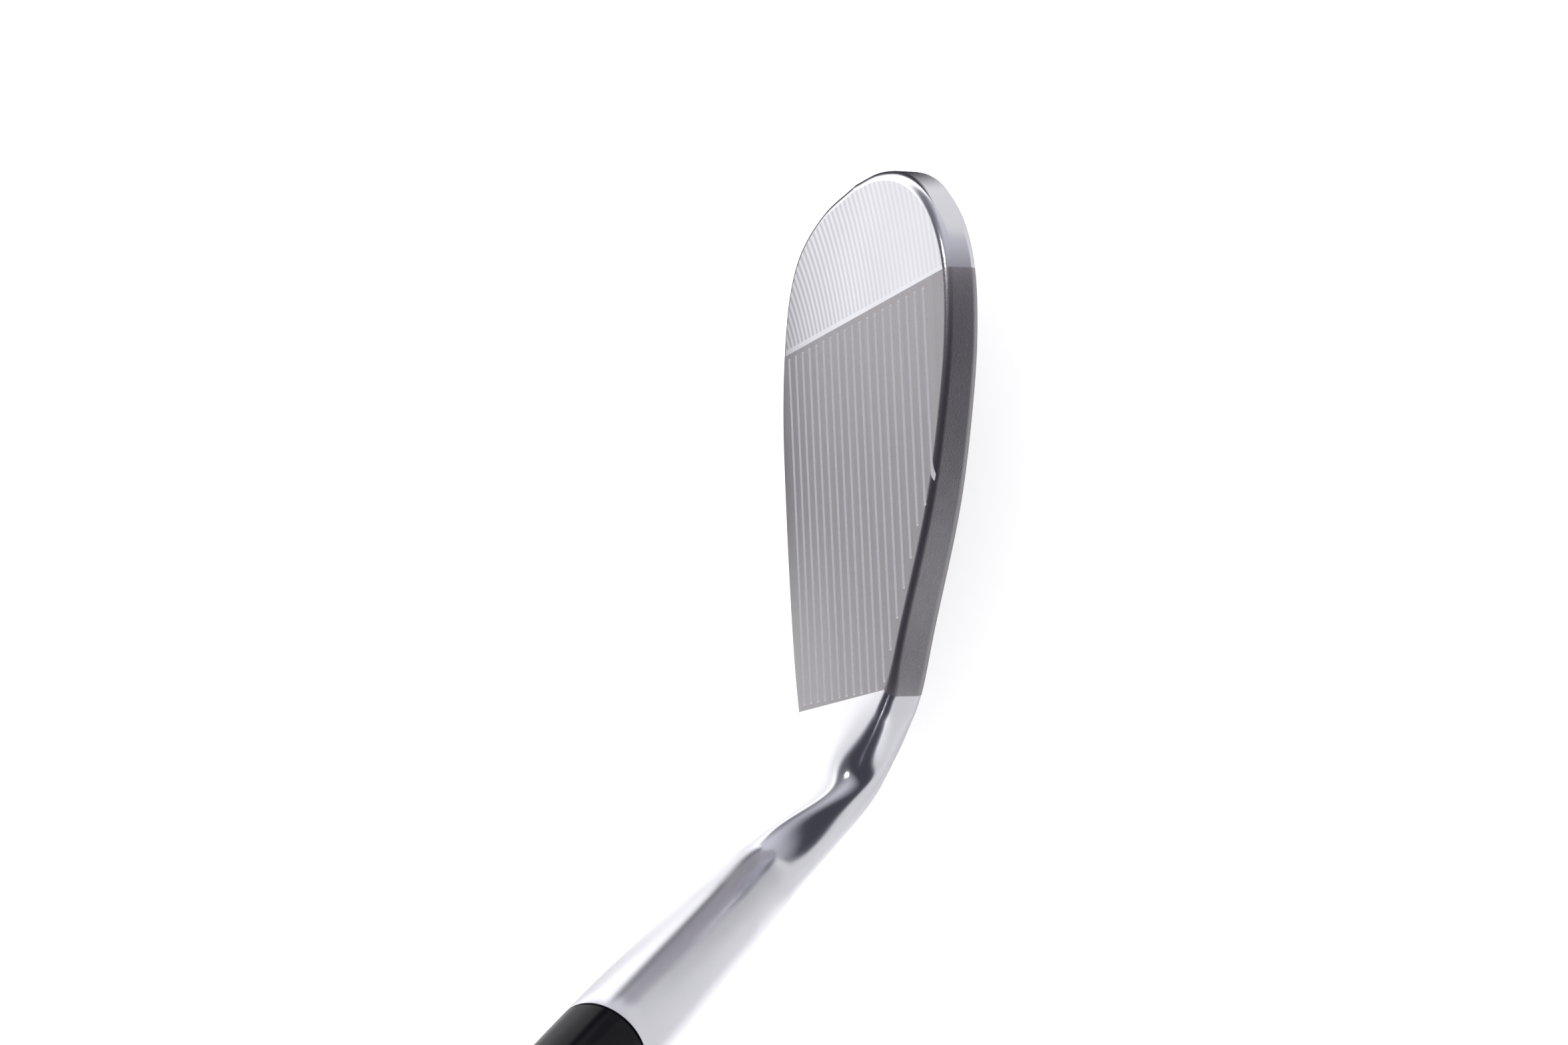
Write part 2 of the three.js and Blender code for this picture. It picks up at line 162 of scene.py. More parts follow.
def smoothstep(x, low, high):
    """Goes from 0 to 1 between low and high, level at both ends."""
    t = min(max((x - low) / (high - low), 0), 1)
    return t * t * (3 - 2 * t)


def spot(outline, inset):
    """A place in the face plane, at a distance inside the outline."""
    return outline[0] - outline[1] * inset


def blade_ring(low, high, sole_share, thick, sole_width, edge, back_edge):
    """One closed section of the blade, between the sole's and the topline's outline."""
    start_tilt = (loft - sole_lead_angle) * sole_share
    end_tilt = (loft + sole_trail_angle) * sole_share
    spread = max(end_tilt - start_tilt, 1e-6)
    edge_depth = min(edge, 1.2 + 0.3 * edge)

    def under(w):
        turn = min(w / lead_to, 1) * (quarter + start_tilt)
        inset, m = lead_radius * (1 - math.sin(turn)), lead_radius * (1 - math.cos(turn))
        if w > lead_to:
            tilt = start_tilt + spread * min((w - lead_to) / (camber_to - lead_to), 1)
            inset += sole_width / spread * (math.cos(start_tilt) - math.cos(tilt))
            m += sole_width / spread * (math.sin(tilt) - math.sin(start_tilt))
        if w > camber_to:
            tilt = end_tilt + (trail_end_tilt - end_tilt) * (w - camber_to) / (trail_to - camber_to)
            inset += trail_radius * (math.cos(end_tilt) - math.cos(tilt))
            m += trail_radius * (math.sin(tilt) - math.sin(end_tilt))
        return inset, m

    trail_inset, trail_m = under(trail_to)
    ring = []
    for u in places:
        if u <= face_to:
            part = u / face_to
            place, m = spot(low, lead_radius) + (spot(high, edge) - spot(low, lead_radius)) * part, 0
        elif u <= front_edge_to:
            turn = quarter * (u - face_to) / (front_edge_to - face_to)
            place, m = spot(high, edge * (1 - math.sin(turn))), edge_depth * (1 - math.cos(turn))
        elif u <= flat_to:
            part = (u - front_edge_to) / (flat_to - front_edge_to)
            place, m = spot(high, 0), edge_depth + (thick - back_edge - edge_depth) * part
        elif u <= topline_to:
            turn = quarter * (u - flat_to) / (topline_to - flat_to)
            place = spot(high, back_edge * (1 - math.cos(turn)))
            m = thick - back_edge * (1 - math.sin(turn))
        elif u < back_to:
            part = (u - topline_to) / (back_to - topline_to)
            rise = muscle_taper * part + (1 - muscle_taper) * smoothstep(part, muscle_start, muscle_end)
            place = spot(high, back_edge) * (1 - part) + spot(low, trail_inset) * part
            m = thick + (trail_m - thick) * rise
        else:
            inset, m = under(all_round - u)
            place = spot(low, inset)
        ring.append(face_point(place[0], place[1], m))
    return np.array(ring)


def blade_station(s):
    """The blade's section at one place along the face, where its edges and its thickness are known."""
    low, high = sole_at(s), top_at(s)
    sole_share = max(0, -low[1][1]) ** 1.5
    edge = top_edge_radius + (toe_edge_radius - top_edge_radius) * smoothstep(s, toe_edge_from, toe_edge_to)
    edge = min(edge + heel_edge_growth * max(0, heel_edge_from - s) ** 1.5, largest_edge)
    thick = topline_at_heel + (topline_at_toe - topline_at_heel) * min(max(s / zone_length, 0), 1)
    # At the toe's tip the topline's edges take the sizes of the sole's, which they meet there
    at_tip = smoothstep(s, toe_tip - tip_blend, toe_tip - 0.2)
    edge += (lead_radius - edge) * at_tip
    thick += (lead_radius + toe_band + trail_radius - thick) * at_tip
    back_edge = back_edge_radius + (trail_radius - back_edge_radius) * at_tip
    full_sole = (sole_lead_angle + sole_trail_angle) * sole_radius
    full_sole *= sole_at_heel + (1 - sole_at_heel) * smoothstep(s, sole_narrow_at, zone_length / 2)
    sole_width = toe_band + (full_sole - toe_band) * sole_share
    return blade_ring(low, high, sole_share, thick, sole_width, edge, back_edge)


def oval_ring(centre, turn, along, across):
    """An oval section in a plane turned about Y, its long way along the slope of the face."""
    angle = 2 * np.pi * (places - top_middle) / all_round
    v, m = along * np.cos(angle), across * np.sin(angle)
    rise = v * math.cos(loft) - m * math.sin(loft)
    back = v * math.sin(loft) + m * math.cos(loft)
    return np.column_stack([-rise * math.sin(turn), back, rise * math.cos(turn)]) + centre


def hosel_ring(height, radius):
    """A round section square to the shaft's line."""
    return oval_ring(np.array(shaft_line @ Vector((0, 0, height))), lie, radius, radius)


toe_steps = [0.01, 0.05, 0.12, 0.25, 0.45, 0.7, 1, 1.4, 1.8, 2.3, 2.9, 3.6, 4.3, 5.1, 6, 7, 8.2, 9.5, 11,
             12.7, 14.4, 16.2]
stations = [toe_tip - step for step in toe_steps]
stations += [55.6, zone_length, 53.2, 52] + list(np.arange(50, 1, -2)) + [1, 0]
rings = [blade_station(s) for s in stations]
zone_rows = stations.index(zone_length), len(stations) - 1

# The neck: ovals from the heel round the bend to the hosel, with the blade's own section melting into them.
# Each has its place along, up and into the face, its turn in degrees, and its two half widths.
neck_ovals = [(-14.18, 10.69, 3.21, 6.83, 7.37, 7.31),
              (-9.13, 11.62, 2.46, -1.88, 10.44, 6.04),
              (-11.63, 11.8, 1.24, 9.92, 9.33, 4.89),
              (-15.12, 14.37, -2.7, 13.59, 6.61, 5.14)]
hosel_start, hosel_start_radius = 34, 5.75
ovals = [oval_ring(face_point(s, v, m), math.radians(turn), along, across)
         for s, v, m, turn, along, across in neck_ovals]
ovals += [hosel_ring(21, 5.31), hosel_ring(hosel_start, hosel_start_radius)]
melt_furthest = -18.9
melt_reach = 9
melt_end = 2.6
melt_power = 0.6
rows_per_oval = 12


def on_curve(keys, t):
    """A place on the uniform smooth curve through the keys, one unit of t apart."""
    j = min(int(t), len(keys) - 2)
    before = keys[j - 1] if j else 2 * keys[0] - keys[1]
    after = keys[j + 2] if j + 2 < len(keys) else 2 * keys[-1] - keys[-2]
    b, c, t = keys[j], keys[j + 1], t - j
    squared = 2 * before - 5 * b + 4 * c - after
    cubed = 3 * (b - c) + after - before
    return b + t / 2 * (c - before + t * (squared + t * cubed))


def neck_ring(t):
    """The neck's section, t ovals beyond the zone's heel edge."""
    oval = on_curve(ovals, t)
    if t >= melt_end:
        return oval
    melt = smoothstep((t / melt_end) ** melt_power, 0, 1)
    return (1 - melt) * blade_station(max(-melt_reach * t, melt_furthest)) + melt * oval


# The neck's rows are spaced evenly along their way, and each is then eased between its neighbours
row_count = rows_per_oval * (len(ovals) - 1)
neck = np.array([rings[-1]] + [neck_ring(row / rows_per_oval) for row in range(1, row_count + 1)])
steps = np.linalg.norm(np.diff(neck, axis=0), axis=2).mean(axis=1)
way = np.concatenate([[0], np.cumsum(steps)])
even = np.linspace(0, way[-1], len(neck))
columns = neck.reshape(len(neck), -1).T
neck = np.array([np.interp(even, way, column) for column in columns]).T.reshape(neck.shape)
for _ in range(30):
    neck[1:-1] = (neck[:-2] + 2 * neck[1:-1] + neck[2:]) / 4
rings += list(neck[1:])

# The hosel widens to its mouth, whose rim is chamfered outside and countersunk inside, and the bore follows
widening = hosel_radius - hosel_start_radius
for part in np.linspace(0, 1, 11)[1:-1]:
    height = hosel_start + (hosel_length - hosel_start) * part
    rings.append(hosel_ring(height, hosel_start_radius + widening * smoothstep(part, 0, 0.9)))
bore_end = hosel_length - bore_depth
for height, radius in ((hosel_length - 0.1, hosel_radius), (hosel_length - 0.03, hosel_radius - 0.03),
                       (hosel_length, hosel_radius - 0.1), (hosel_length, hosel_bore_radius + 1.1),
                       (hosel_length - 1.1, hosel_bore_radius), (hosel_length - 1.3, hosel_bore_radius),
                       (bore_end + 0.7, hosel_bore_radius), (bore_end, hosel_bore_radius)):
    rings.append(hosel_ring(height, radius))

corners = [(mm * x, mm * y, mm * max(z, 0)) for ring in rings for x, y, z in ring]
polished, blasted, milled, grooved = 0, 1, 2, 3
blast_over, blast_under = 21.4, 45.5
quads = []
finish_of = []
for row in range(len(rings) - 1):
    for i in range(around):
        a, b = row * around + i, row * around + (i + 1) % around
        quads.append((a, a + around, b + around, b))
        on_front = places[i] < blast_over or places[i] >= blast_under
        if zone_rows[0] <= row < zone_rows[1] and on_front:
            finish_of.append(blasted)
        elif row < zone_rows[0] and places[i] < face_to:
            finish_of.append(milled)
        else:
            finish_of.append(polished)
for row, flip in ((0, False), (len(rings) - 1, True)):
    end_cap = list(range(row * around, (row + 1) * around))
    quads.append(end_cap[::-1] if flip else end_cap)
    finish_of.append(polished)
head_mesh = bpy.data.meshes.new("club_head_forged")
head_mesh.from_pydata(corners, [], quads)
head_mesh.polygons.foreach_set("material_index", finish_of)
head = bpy.data.objects.new("club_head_forged", head_mesh)
bpy.context.collection.objects.link(head)


def select_only(*objects):
    for o in bpy.context.selected_objects:
        o.select_set(False)
    for o in objects:
        o.select_set(True)
    bpy.context.view_layer.objects.active = objects[0]


def turn_outwards():
    """Makes all faces of the mesh in edit mode point outwards, and leaves edit mode."""
    bpy.ops.mesh.normals_make_consistent(inside=False)
    bpy.ops.object.mode_set(mode="OBJECT")


# Only the neck is smoothed again, so that the blade and the hosel keep their sizes
select_only(head)
smoothed_from, smoothed_to = len(stations) + 4, len(stations) + 44
for flat_part in (head_mesh.edges, head_mesh.polygons):
    flat_part.foreach_set("select", [False] * len(flat_part))
for vertex in head_mesh.vertices:
    vertex.select = smoothed_from <= vertex.index // around < smoothed_to
bpy.ops.object.mode_set(mode="EDIT")
bpy.ops.mesh.vertices_smooth(factor=0.5, repeat=20)
bpy.ops.mesh.select_all(action="SELECT")
bpy.ops.mesh.remove_doubles(threshold=2e-6)
turn_outwards()
bpy.ops.object.shade_smooth_by_angle(angle=math.radians(35))

# The grooves: each cutter is a bar with sloping sides and ends, laid along the face
groove_count = 19
groove_pitch = 2.88
groove_margin = 0.5
groove_run_out = 1.2
groove_floor = 0.45
below_topline = 2.1
cutter_width = 1.15
cutter_height = 0.9
face_frame = Matrix((
    (-1, 0, 0, heel_line_x),
    (0, math.sin(loft), math.cos(loft), groove_y),
    (0, math.cos(loft), -math.sin(loft), groove_z),
    (0, 0, 0, 1)))
climbing = smooth_curve(top_line)[:5 * curve_steps]
groove_cutters = []
for i in range(groove_count):
    v = groove_pitch * i
    start = max(groove_margin, np.interp(v + below_topline, climbing[:, 1], climbing[:, 0]))
    end = zone_length - groove_margin
    middle = (start + end) / 2
    bpy.ops.mesh.primitive_cube_add(size=1, location=(middle, v, 0),
                                    scale=(end - start, cutter_width, cutter_height))
    cutter = bpy.context.active_object
    bpy.ops.object.transform_apply()
    for vertex in cutter.data.vertices:
        if vertex.co.z > 0:
            vertex.co.y = v + math.copysign(groove_floor / 2, vertex.co.y - v)
            vertex.co.x += math.copysign(groove_run_out, middle - vertex.co.x)
    groove_cutters.append(cutter)
select_only(*groove_cutters)
bpy.ops.object.join()
grooves = bpy.context.active_object
grooves.data.transform(Matrix.Scale(mm, 4) @ face_frame)
grooves.data.polygons.foreach_set("material_index", [grooved] * len(grooves.data.polygons))
bpy.ops.object.mode_set(mode="EDIT")
bpy.ops.mesh.select_all(action="SELECT")
turn_outwards()
select_only(head)
cut = head.modifiers.new("grooves", "BOOLEAN")
cut.operation = "DIFFERENCE"
cut.solver = "EXACT"
cut.object = grooves
bpy.ops.object.modifier_apply(modifier="grooves")
bpy.data.objects.remove(grooves)

# The face and the grooves stay flat, everything else is smooth
face_normal = Vector((0, -math.cos(loft), math.sin(loft)))
for polygon in head.data.polygons:
    if polygon.normal.dot(face_normal) > 0.9999:
        polygon.use_smooth = False


def new_material(name, roughness, metallic=0):
    """Starts a material and gives its shader and the piece's own coordinates."""
    material = bpy.data.materials.new(name)
    material.use_nodes = True
    tree = material.node_tree
    shader = tree.nodes["Principled BSDF"]
    shader.inputs["Roughness"].default_value = roughness
    shader.inputs["Metallic"].default_value = metallic
    place = tree.nodes.new("ShaderNodeTexCoord").outputs["Object"]
    return material, tree, shader, place


def noise(tree, coordinates, scale, detail):
    texture = tree.nodes.new("ShaderNodeTexNoise")
    texture.inputs["Scale"].default_value = scale
    texture.inputs["Detail"].default_value = detail
    tree.links.new(coordinates, texture.inputs["Vector"])
    return texture.outputs["Fac"]


def grain(tree, coordinates, scale, strength, distance):
    """A fine noise and the bump it makes, in the way of blasting or brushing."""
    pattern = noise(tree, coordinates, scale, 3)
    bump = tree.nodes.new("ShaderNodeBump")
    bump.inputs["Strength"].default_value = strength
    bump.inputs["Distance"].default_value = distance
    tree.links.new(pattern, bump.inputs["Height"])
    return pattern, bump.outputs["Normal"]


def mixed(tree, factor, low, high):
    """A colour between two, by a factor from the pattern."""
    ramp = tree.nodes.new("ShaderNodeValToRGB")
    ramp.color_ramp.elements[0].color = (*low, 1)
    ramp.color_ramp.elements[1].color = (*high, 1)
    tree.links.new(factor, ramp.inputs["Fac"])
    return ramp.outputs["Color"]


def blended(tree, kind, first, second):
    """Two colours multiplied, or the lighter of the two."""
    blend = tree.nodes.new("ShaderNodeMixRGB")
    blend.blend_type = kind
    blend.inputs["Fac"].default_value = 1
    tree.links.new(first, blend.inputs["Color1"])
    tree.links.new(second, blend.inputs["Color2"])
    return blend.outputs["Color"]


def math_node(tree, operation, *inputs):
    """One step of arithmetic on the pattern, from outputs or plain numbers."""
    node = tree.nodes.new("ShaderNodeMath")
    node.operation = operation
    for socket, value in zip(node.inputs, inputs):
        if isinstance(value, (int, float)):
            socket.default_value = value
        else:
            tree.links.new(value, socket)
    return node.outputs[0]


def axes_of(tree, vector):
    split = tree.nodes.new("ShaderNodeSeparateXYZ")
    tree.links.new(vector, split.inputs["Vector"])
    return split.outputs


def ranged(tree, value, start, end, low, high, interpolation="LINEAR"):
    """Changes from low to high while the value goes from start to end, and no further."""
    slope = tree.nodes.new("ShaderNodeMapRange")
    slope.interpolation_type = interpolation
    slope.inputs["From Min"].default_value = start
    slope.inputs["From Max"].default_value = end
    slope.inputs["To Min"].default_value = low
    slope.inputs["To Max"].default_value = high
    tree.links.new(value, slope.inputs["Value"])
    return slope.outputs["Result"]


def finish(tree, shader, colour, normal):
    tree.links.new(colour, shader.inputs["Base Color"])
    tree.links.new(normal, shader.inputs["Normal"])


# Mirror polish, which gets a little softer up the hosel
polished_steel, tree, shader, place = new_material("polished_chrome", 0.2, 1)
pattern, normal = grain(tree, place, 240, 0.02, 0.0004)
finish(tree, shader, mixed(tree, pattern, (0.83, 0.825, 0.88), (0.88, 0.875, 0.92)), normal)
tree.links.new(ranged(tree, axes_of(tree, place)["X"], 0.03, 0.07, 0.17, 0.3), shader.inputs["Roughness"])

# Blasting, with faint streaks of wear along the grooves
blasted_steel, tree, shader, place = new_material("blasted_face", 0.42, 1)
pattern, normal = grain(tree, place, 5200, 0.35, 0.00008)
along_grooves = tree.nodes.new("ShaderNodeMapping")
along_grooves.inputs["Scale"].default_value = (0.04, 1, 1)
tree.links.new(place, along_grooves.inputs["Vector"])
streaks = noise(tree, along_grooves.outputs["Vector"], 700, 4)
worn = blended(tree, "MULTIPLY", mixed(tree, pattern, (0.44, 0.42, 0.44), (0.58, 0.555, 0.58)),
               mixed(tree, streaks, (0.82, 0.81, 0.82), (1, 1, 1)))
finish(tree, shader, worn, normal)

groove_steel, tree, shader, place = new_material("milled_grooves", 0.5, 0.15)
pattern, normal = grain(tree, place, 2600, 0.2, 0.00005)
finish(tree, shader, mixed(tree, pattern, (0.58, 0.575, 0.61), (0.68, 0.675, 0.71)), normal)

# The toe was skimmed by a wide cutter, whose arcs turn about a point below the sole. They fade towards the
# topline and stop short of the blasted zone. A ring wave has a line every 2 pi / 20 of its scaled units.
cutter_centre = face_frame @ Vector((42, -25, 0))
line_pitch = 1.45
fade_length = 34
plain_margin = 0.45
milled_steel, tree, shader, place = new_material("milled_toe", 0.3, 1)
about = tree.nodes.new("ShaderNodeMapping")
about.vector_type = "TEXTURE"
about.inputs["Location"].default_value = cutter_centre * mm
about.inputs["Rotation"].default_value = (math.pi / 2 - loft, 0, 0)
tree.links.new(place, about.inputs["Vector"])
arcs = tree.nodes.new("ShaderNodeTexWave")
arcs.wave_type = "RINGS"
arcs.rings_direction = "Z"
arcs.inputs["Scale"].default_value = 2 * math.pi / (20 * line_pitch * mm)
tree.links.new(about.outputs["Vector"], arcs.inputs["Vector"])
where = axes_of(tree, place)
fade = ranged(tree, where["Y"], groove_y * mm, (groove_y + fade_length) * mm, 1, 0.3)
on_toe = math_node(tree, "LESS_THAN", where["X"], (heel_line_x - zone_length - plain_margin) * mm)
cut_line = math_node(tree, "MULTIPLY", math_node(tree, "SUBTRACT", 1, arcs.outputs["Fac"]),
                     math_node(tree, "MULTIPLY", fade, on_toe))
cut_bump = tree.nodes.new("ShaderNodeBump")
cut_bump.invert = True
cut_bump.inputs["Strength"].default_value = 0.15
cut_bump.inputs["Distance"].default_value = 0.00005
tree.links.new(cut_line, cut_bump.inputs["Height"])
# The cutter's lines are real marks, but their dark colour is painted shade in the cuts, on top of the steel's
# own random tone
cut_tone_and_painted_shade = blended(tree, "MULTIPLY", mixed(tree, cut_line, (0.79, 0.795, 0.84), (0.46, 0.455, 0.485)),
                 mixed(tree, noise(tree, place, 60, 1), (0.88, 0.865, 0.86), (1, 1, 1)))
finish(tree, shader, cut_tone_and_painted_shade, cut_bump.outputs["Normal"])

for material in (polished_steel, blasted_steel, milled_steel, groove_steel):
    head.data.materials.append(material)
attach(head, "root")
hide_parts("club_head")


# ---------------------------------------------------------------------------------------------
# Ferrule. A short turned cone of black plastic, polished with solvent, that slides down the shaft
# and covers the step from the hosel to the shaft.
clearance = 0.3
shaft_tip_radius = 4.7
ferrule_length = 25
ferrule_straight = 2
ferrule_wall = 0.9
lip_chamfer = 0.4


def begin_tube(name, height, radius):
    """Starts a round piece about the shaft's line with an open ring."""
    bpy.ops.mesh.primitive_circle_add(vertices=96, radius=radius, location=(0, 0, height))
    made = bpy.context.active_object
    made.name = name
    bpy.ops.object.mode_set(mode="EDIT")
    bpy.ops.mesh.select_all(action="SELECT")
    return made


def draw_tube(*to):
    """Extrudes the open ring on to each height and radius in turn."""
    ring = bpy.context.edit_object
    for height, radius in to:
        bpy.ops.object.mode_set(mode="OBJECT")
        held = next(v.co for v in ring.data.vertices if v.select)
        z, r = held.z + ring.location.z, math.hypot(held.x, held.y)
        bpy.ops.object.mode_set(mode="EDIT")
        bpy.ops.mesh.extrude_region_move(TRANSFORM_OT_translate={"value": (0, 0, height - z)})
        bpy.ops.transform.resize(value=(radius / r, radius / r, 1))


def close_tube(piece):
    """Merges the last ring with the first, and lays the piece on the shaft's line."""
    bpy.ops.mesh.select_all(action="SELECT")
    bpy.ops.mesh.remove_doubles(threshold=0.004)
    turn_outwards()
    bpy.ops.object.transform_apply()
    piece.data.transform(Matrix.Scale(mm, 4) @ shaft_line)
    bpy.ops.object.shade_smooth_by_angle(angle=math.radians(40))


low = hosel_length + clearance
top = low + ferrule_length
bore = shaft_tip_radius + clearance
ferrule = begin_tube("turned_ferrule", low, bore)
draw_tube((low, hosel_radius - 0.12), (low + 0.12, hosel_radius), (low + ferrule_straight, hosel_radius))
start = np.array([low + ferrule_straight, hosel_radius])
pull = np.array([low + 15.5, hosel_radius])
end = np.array([top - lip_chamfer, bore + ferrule_wall])
for part in np.linspace(0, 1, 9)[1:]:
    draw_tube(start * (1 - part) ** 2 + 2 * pull * part * (1 - part) + end * part ** 2)
draw_tube((top, bore + ferrule_wall - lip_chamfer), (top, bore), (low, bore))
close_tube(ferrule)

black_plastic, tree, shader, place = new_material("black_ferrule_plastic", 0.16)
pattern, normal = grain(tree, place, 700, 0.03, 0.0002)
finish(tree, shader, mixed(tree, pattern, (0.004, 0.004, 0.006), (0.008, 0.008, 0.011)), normal)
shader.inputs["Specular IOR Level"].default_value = 0.1
ferrule.data.materials.append(black_plastic)
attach(ferrule, "root")
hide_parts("ferrule")


# ---------------------------------------------------------------------------------------------
# Shaft. A seamless steel tube, drawn in steps from the butt to the tip and chrome plated. It is glued
# into the hosel's bore, and its tip holds the swing weight.
club_length = 902
cap_height = 5.2
spigot_length = 3.2
shaft_butt_radius = 7.6
wall = 0.55
step_count = 13
step_pitch = 38
ground_below_axis = groove_z / math.sin(lie)
butt_end = club_length - ground_below_axis
tip_end = hosel_length - bore_depth + clearance
first_step = tip_end + 205
cap_seat = butt_end - cap_height
shaft_top = cap_seat - spigot_length - clearance
shaft = begin_tube("stepped_shaft", tip_end, shaft_tip_radius - wall)
draw_tube((tip_end, shaft_tip_radius - 0.1), (tip_end + 0.1, shaft_tip_radius))
for i in range(step_count):
    at = first_step + step_pitch * i
    before, after = (shaft_tip_radius + (shaft_butt_radius - shaft_tip_radius) * n / step_count
                     for n in (i, i + 1))
    draw_tube((at - 1.3, before), (at - 1.1, before + 0.03), (at - 0.1, after - 0.03), (at + 0.1, after))
draw_tube((shaft_top, shaft_butt_radius), (shaft_top, shaft_butt_radius - wall),
          (first_step + step_pitch * step_count, shaft_butt_radius - wall),
          (first_step - step_pitch, shaft_tip_radius - wall), (tip_end, shaft_tip_radius - wall))
close_tube(shaft)

shaft_chrome, tree, shader, place = new_material("shaft_chrome", 0.09, 1)
pattern, normal = grain(tree, place, 300, 0.02, 0.0003)
finish(tree, shader, mixed(tree, pattern, (0.78, 0.79, 0.82), (0.85, 0.86, 0.88)), normal)
shaft.data.materials.append(shaft_chrome)
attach(shaft, "root")
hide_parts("shaft")


# ---------------------------------------------------------------------------------------------
# Set adhesive, tip weight and grip tape. They are hidden inside the joint, the tip and the grip, and
# keep the shapes of the frame: amber resin, a turned brass plug, and paper tape wound on the butt.
def dress(name, colours, roughness, metallic, scale, strength):
    """Gives a piece of the frame its finish."""
    material, tree, shader, place = new_material(name + "_finish", roughness, metallic)
    pattern, normal = grain(tree, place, scale, strength, 0.0002)
    finish(tree, shader, mixed(tree, pattern, *colours), normal)
    nodes[name].data.materials.clear()
    nodes[name].data.materials.append(material)


dress("epoxy_ring", ((0.4, 0.35, 0.25), (0.5, 0.44, 0.34)), 0.35, 0, 500, 0.1)
dress("tip_weight", ((0.6, 0.42, 0.16), (0.7, 0.5, 0.22)), 0.35, 1, 800, 0.08)
dress("grip_tape", ((0.62, 0.57, 0.46), (0.74, 0.69, 0.58)), 0.9, 0, 900, 0.4)


# ---------------------------------------------------------------------------------------------
# Grip. A sleeve of black rubber, moulded with a fine diamond pattern, pushed over the taped butt of
# the shaft. It tapers from the butt to a small rolled lip at its mouth.
grip_length = 268
tape_thickness = 0.3
lip = 3
grip_mouth = cap_seat - grip_length
grip_bore = shaft_butt_radius + tape_thickness + clearance
mouth_radius = grip_bore + 1.9
butt_radius = 13.1
grip = begin_tube("rubber_grip", grip_mouth, grip_bore)
draw_tube((grip_mouth, mouth_radius - 0.3), (grip_mouth + 0.35, mouth_radius + 0.12),
          (grip_mouth + 1, mouth_radius + 0.3), (grip_mouth + 2.2, mouth_radius + 0.2))
taper = np.array([[grip_mouth + lip, mouth_radius], [grip_mouth + grip_length / 3, mouth_radius + 0.7],
                  [grip_mouth + grip_length * 2 / 3, butt_radius - 2.2], [cap_seat - clearance, butt_radius]])
for part in np.linspace(0, 1, 61):
    weights = [(1 - part) ** 3, 3 * part * (1 - part) ** 2, 3 * part ** 2 * (1 - part), part ** 3]
    draw_tube(weights @ taper)
draw_tube((cap_seat - clearance, grip_bore), (grip_mouth, grip_bore))
close_tube(grip)

# The mould's diamonds: two sets of grooves that wind round the sleeve, with plain rings between three bands
windings = 26
lead = 0.0036
band_ends = ((0.012, 0.085), (0.097, 0.17), (0.182, 0.256))
grip_rubber, tree, shader, place = new_material("grip_rubber", 0.7)
pattern, normal = grain(tree, place, 1500, 0.25, 0.0002)
about_shaft = tree.nodes.new("ShaderNodeMapping")
about_shaft.vector_type = "TEXTURE"
about_shaft.inputs["Location"].default_value = shaft_line.translation * mm
about_shaft.inputs["Rotation"].default_value = shaft_line.to_euler()
tree.links.new(place, about_shaft.inputs["Vector"])
on_shaft = axes_of(tree, about_shaft.outputs["Vector"])
turned = math_node(tree, "ARCTAN2", on_shaft["Y"], on_shaft["X"])
wound = math_node(tree, "MULTIPLY", on_shaft["Z"], 2 * math.pi / lead)
ridges = []
for hand in (1, -1):
    phase = math_node(tree, "ADD", math_node(tree, "MULTIPLY", turned, hand * windings), wound)
    wave = math_node(tree, "SINE", math_node(tree, "MULTIPLY", phase, 0.5))
    ridges.append(math_node(tree, "POWER", math_node(tree, "ABSOLUTE", wave), 0.45))
diamonds = math_node(tree, "MINIMUM", *ridges)
up_grip = math_node(tree, "SUBTRACT", on_shaft["Z"], grip_mouth * mm)
bands = [math_node(tree, "MULTIPLY", math_node(tree, "GREATER_THAN", up_grip, start),
                   math_node(tree, "LESS_THAN", up_grip, end)) for start, end in band_ends]
in_band = math_node(tree, "ADD", math_node(tree, "ADD", bands[0], bands[1]), bands[2])
sunk = math_node(tree, "MULTIPLY", in_band, math_node(tree, "SUBTRACT", 1, diamonds))
relief = math_node(tree, "SUBTRACT", 1, sunk)
tread = tree.nodes.new("ShaderNodeBump")
tread.inputs["Strength"].default_value = 0.9
tread.inputs["Distance"].default_value = 0.0006
tree.links.new(relief, tread.inputs["Height"])
tree.links.new(normal, tread.inputs["Normal"])
# The sunk grooves of the diamonds are darkened: painted shade in the recesses, over the rubber's own tone
rubber_tone_and_painted_groove_shade = blended(tree, "MULTIPLY", mixed(tree, pattern, (0.02, 0.02, 0.021), (0.034, 0.034, 0.035)),
                       mixed(tree, relief, (0.45, 0.45, 0.45), (1, 1, 1)))
finish(tree, shader, rubber_tone_and_painted_groove_shade, tread.outputs["Normal"])
grip.data.materials.append(grip_rubber)
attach(grip, "root")
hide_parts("grip")


# ---------------------------------------------------------------------------------------------
# Grip cap. A firmer rubber button whose spigot plugs the sleeve, with a vent hole through its middle
# that lets the air out when the grip is pushed on.
vent_radius = 1.6
cap_round = 1.9
cap_foot = cap_seat - spigot_length
cap_top = cap_seat + cap_height
cap = begin_tube("vented_cap", cap_foot, vent_radius)
draw_tube((cap_foot, grip_bore - clearance), (cap_seat, grip_bore - clearance), (cap_seat, butt_radius))
for turn in np.radians(np.arange(0, 91, 10)):
    draw_tube((cap_top - cap_round * (1 - math.sin(turn)), butt_radius - cap_round * (1 - math.cos(turn))))
draw_tube((cap_top, vent_radius + 0.5), (cap_top - 0.2, vent_radius), (cap_foot, vent_radius))
close_tube(cap)

cap_rubber, tree, shader, place = new_material("cap_rubber", 0.55)
pattern, normal = grain(tree, place, 1200, 0.15, 0.0002)
finish(tree, shader, mixed(tree, pattern, (0.02, 0.02, 0.021), (0.034, 0.034, 0.035)), normal)
cap.data.materials.append(cap_rubber)
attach(cap, "root")
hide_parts("grip_cap")
